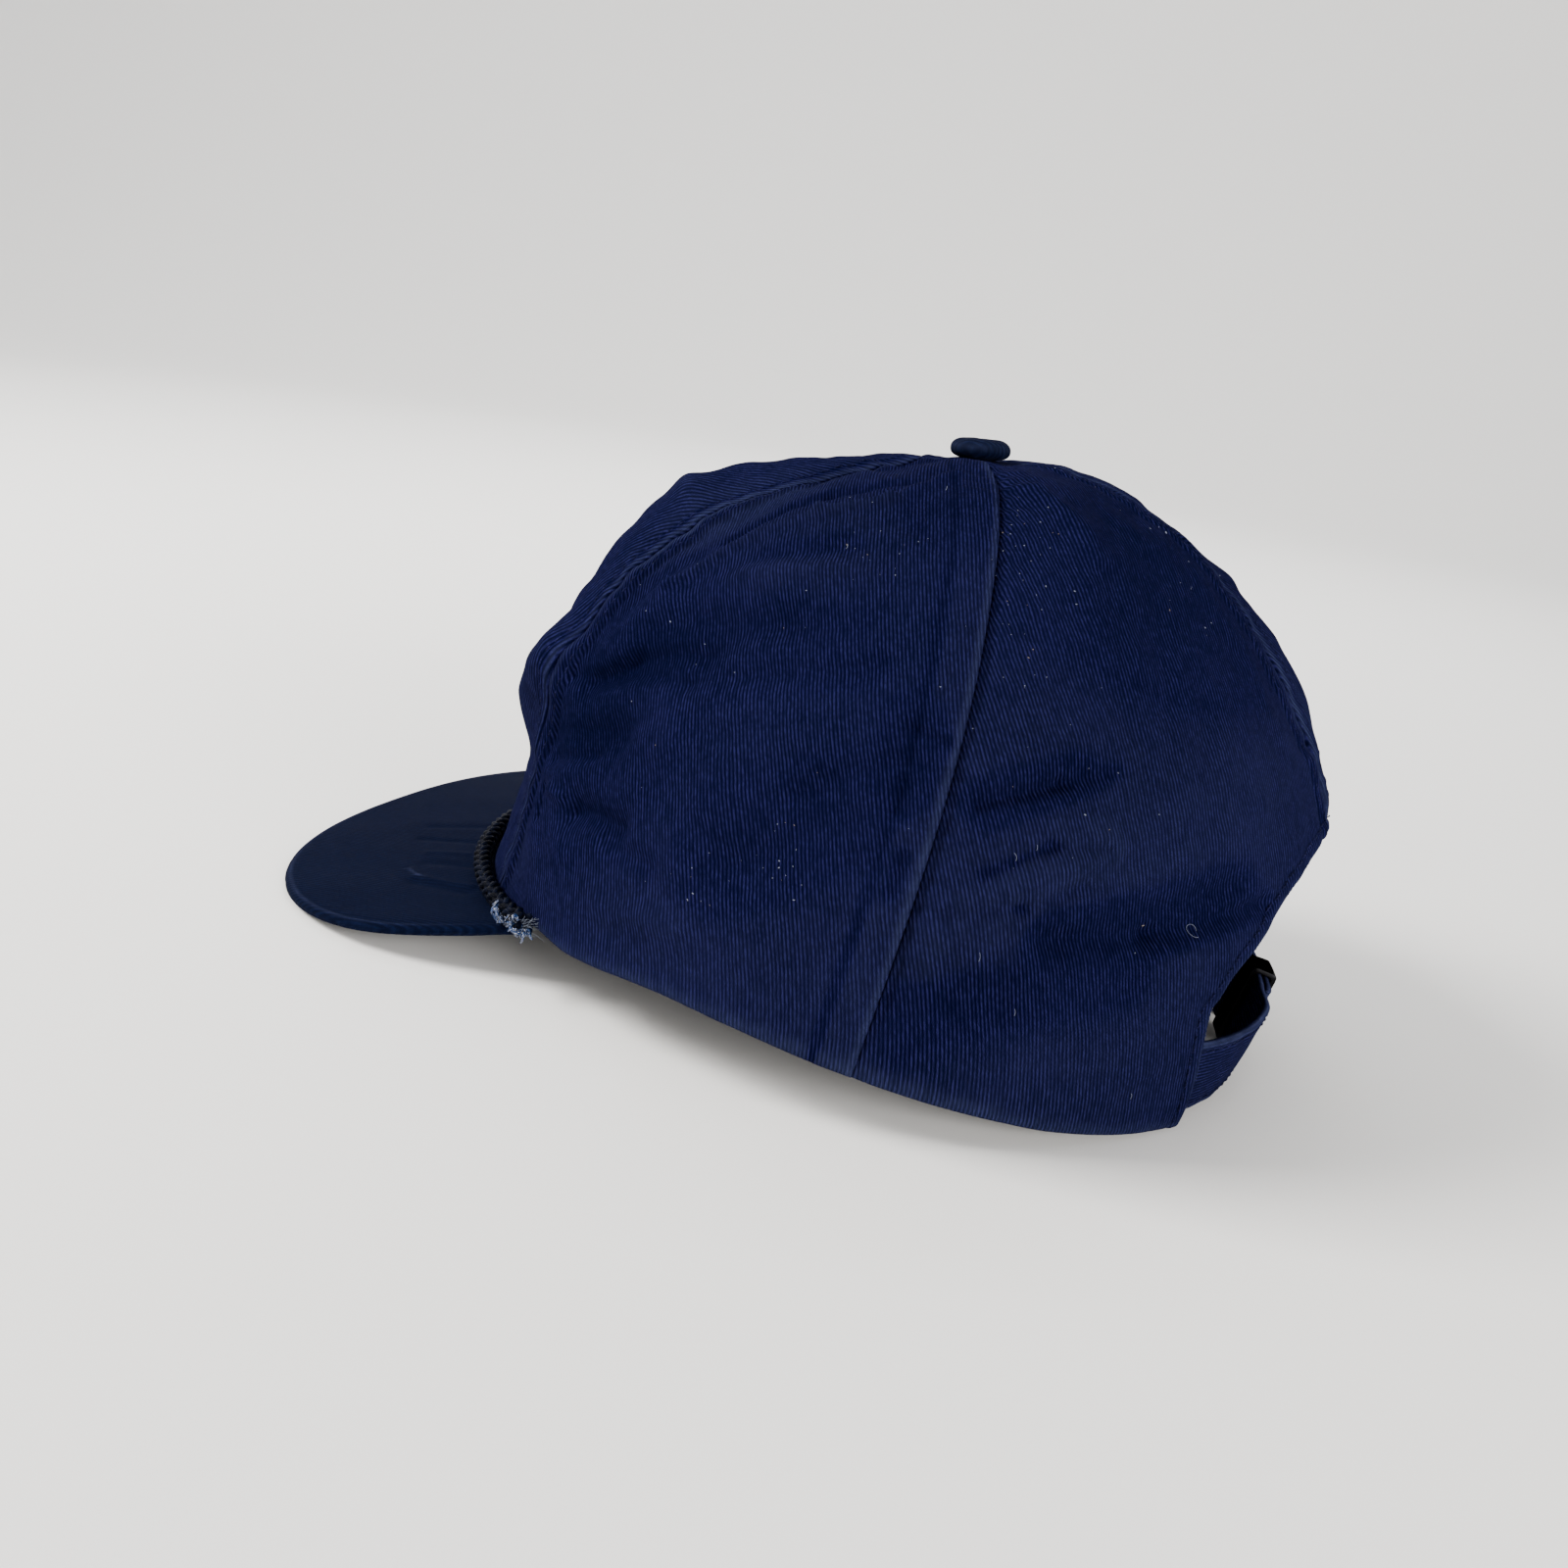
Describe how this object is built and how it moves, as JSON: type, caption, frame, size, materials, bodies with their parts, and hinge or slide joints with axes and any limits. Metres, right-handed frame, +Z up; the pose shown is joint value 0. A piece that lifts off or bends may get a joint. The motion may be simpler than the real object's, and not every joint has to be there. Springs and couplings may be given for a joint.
{
  "type": "strapback cap",
  "caption": "Baseball-style cap with a rounded panelled crown, a curved peak with a rope along its seam, a covered top button and a cloth strap with a slide across the back opening.",
  "frame": {"origin": "centre of the bounding box at floor level", "axes": "the wearer faces -Y, the wearer's left is +X, +Z is up; the cap rests by itself on the floor z = 0"},
  "size_m": [0.1776, 0.2576, 0.1372],
  "materials": {
    "crown_cotton": "navy cotton twill, matt",
    "peak_cotton": "navy cotton over a stiff board, matt",
    "rope_yarn": "dark navy braided yarn, slight sheen",
    "slide_metal": "blackened steel, satin"
  },
  "bodies": {
    "root": {"front_panel": "crown_cotton", "side_panel_left": "crown_cotton", "side_panel_right": "crown_cotton", "back_panel_left": "crown_cotton", "back_panel_right": "crown_cotton", "peak": "peak_cotton", "peak_rope": "rope_yarn", "top_button": "crown_cotton", "strap_long": "crown_cotton", "strap_short": "crown_cotton", "strap_slide": "slide_metal"}
  },
  "joints": []
}
